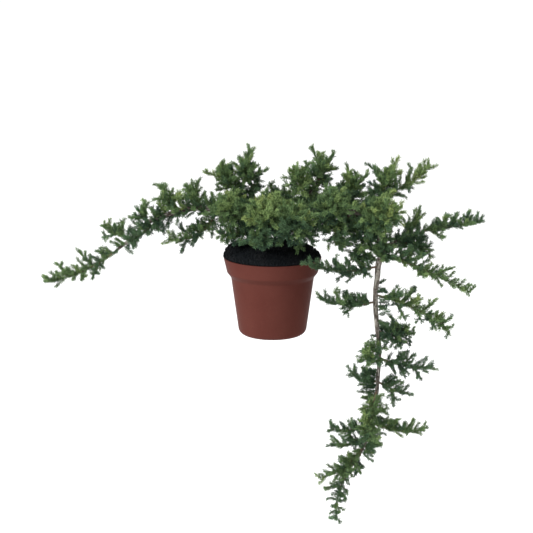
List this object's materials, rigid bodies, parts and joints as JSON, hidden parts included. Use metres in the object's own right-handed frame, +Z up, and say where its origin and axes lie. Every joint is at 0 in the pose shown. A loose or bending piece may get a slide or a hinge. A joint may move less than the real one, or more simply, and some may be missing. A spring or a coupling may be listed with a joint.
{
  "type": "potted juniper bonsai",
  "caption": "Small creeping juniper bonsai in a round nursery pot: bushy crown, arching left bough and a long bough that hangs down on the right.",
  "frame": {"origin": "centre of the pot's flat underside", "axes": "+Z up; +X towards the side of the long hanging bough; -Y towards the front"},
  "size_m": [0.446, 0.1783, 0.3941],
  "materials": {
    "pot": "satin terracotta-coloured plastic",
    "soil": "loose dark potting mix; stands in for moist peaty compost",
    "bark": "thin, flaking grey-brown bark",
    "foliage_deep": "older blue-green needles",
    "foliage_mid": "green needles",
    "foliage_fresh": "young yellow-green needles"
  },
  "bodies": {
    "root": {"pot": "pot", "soil": "soil", "trunk": "bark", "bough_left": "bark", "bough_left_outer": "bark", "bough_right": "bark", "bough_cascade": "bark", "bough_far_right": "bark", "bough_upper_right": "bark", "bough_crown_right": "bark", "bough_front": "bark", "bough_back": "bark", "foliage_left_tip": "foliage_fresh", "foliage_left_outer": "foliage_mid", "foliage_left_shoulder": "foliage_mid", "foliage_left_low_twig": "foliage_deep", "foliage_left_crest_outer": "foliage_fresh", "foliage_left_crest_inner": "foliage_mid", "foliage_left_loop": "foliage_deep", "foliage_crown_left": "foliage_mid", "foliage_crown_top": "foliage_mid", "foliage_crown_front_left": "foliage_mid", "foliage_crown_skirt_left": "foliage_deep", "foliage_crown_front": "foliage_fresh", "foliage_crown_front_low": "foliage_deep", "foliage_crown_front_right": "foliage_deep", "foliage_crown_dip": "foliage_fresh", "foliage_crown_right_inner": "foliage_fresh", "foliage_crown_right_top": "foliage_mid", "foliage_crown_skirt_right": "foliage_deep", "foliage_crown_back_left": "foliage_mid", "foliage_crown_back": "foliage_mid", "foliage_crown_back_low": "foliage_deep", "foliage_crown_back_right": "foliage_mid", "foliage_right_top": "foliage_mid", "foliage_right_front": "foliage_mid", "foliage_right_low_inner": "foliage_mid", "foliage_right_front_low": "foliage_mid", "foliage_right_front_outer": "foliage_fresh", "foliage_right_back": "foliage_mid", "foliage_upper_right": "foliage_mid", "foliage_upper_right_tip": "foliage_fresh", "foliage_far_right_inner": "foliage_deep", "foliage_far_right_tip": "foliage_mid", "foliage_right_low": "foliage_deep", "foliage_low_right_tip": "foliage_fresh", "foliage_hanging_left_1": "foliage_deep", "foliage_hanging_left_2": "foliage_deep", "foliage_hanging_left_3": "foliage_deep", "foliage_hanging_left_4": "foliage_deep", "foliage_hanging_left_5": "foliage_mid", "foliage_hanging_left_6": "foliage_fresh", "foliage_hanging_right_1": "foliage_mid", "foliage_hanging_right_2": "foliage_deep", "foliage_hanging_right_3": "foliage_deep", "foliage_hanging_right_4": "foliage_deep", "foliage_hanging_right_5": "foliage_fresh", "foliage_hanging_front": "foliage_mid", "foliage_hanging_sleeve": "foliage_fresh", "foliage_hanging_tip": "foliage_fresh"}
  },
  "joints": []
}
